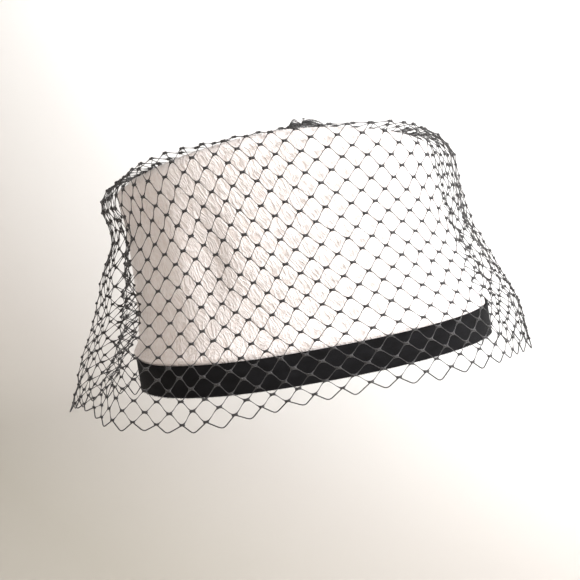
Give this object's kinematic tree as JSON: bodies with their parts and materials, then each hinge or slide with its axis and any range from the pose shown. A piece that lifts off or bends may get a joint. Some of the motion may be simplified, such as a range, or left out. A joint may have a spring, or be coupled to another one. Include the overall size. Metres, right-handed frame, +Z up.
{
  "type": "veiled pillbox hat",
  "caption": "Tall oval pillbox hat in crinkled leather with a narrow velvet band and a net veil that hangs past its rim.",
  "frame": {"origin": "centre of the head opening, in the plane of the rim", "axes": "+Z up through the tip, +X along the hat's long axis towards the narrower end, -Y towards the front that the picture shows"},
  "size_m": [0.2713, 0.1977, 0.1623],
  "materials": {
    "crown": "soft crinkled ivory leather, low sheen",
    "band": "black velvet, matt pile",
    "veil": "black stiffened net thread"
  },
  "bodies": {
    "root": {"crown": "crown", "band": "band", "veil": "veil"}
  },
  "joints": []
}
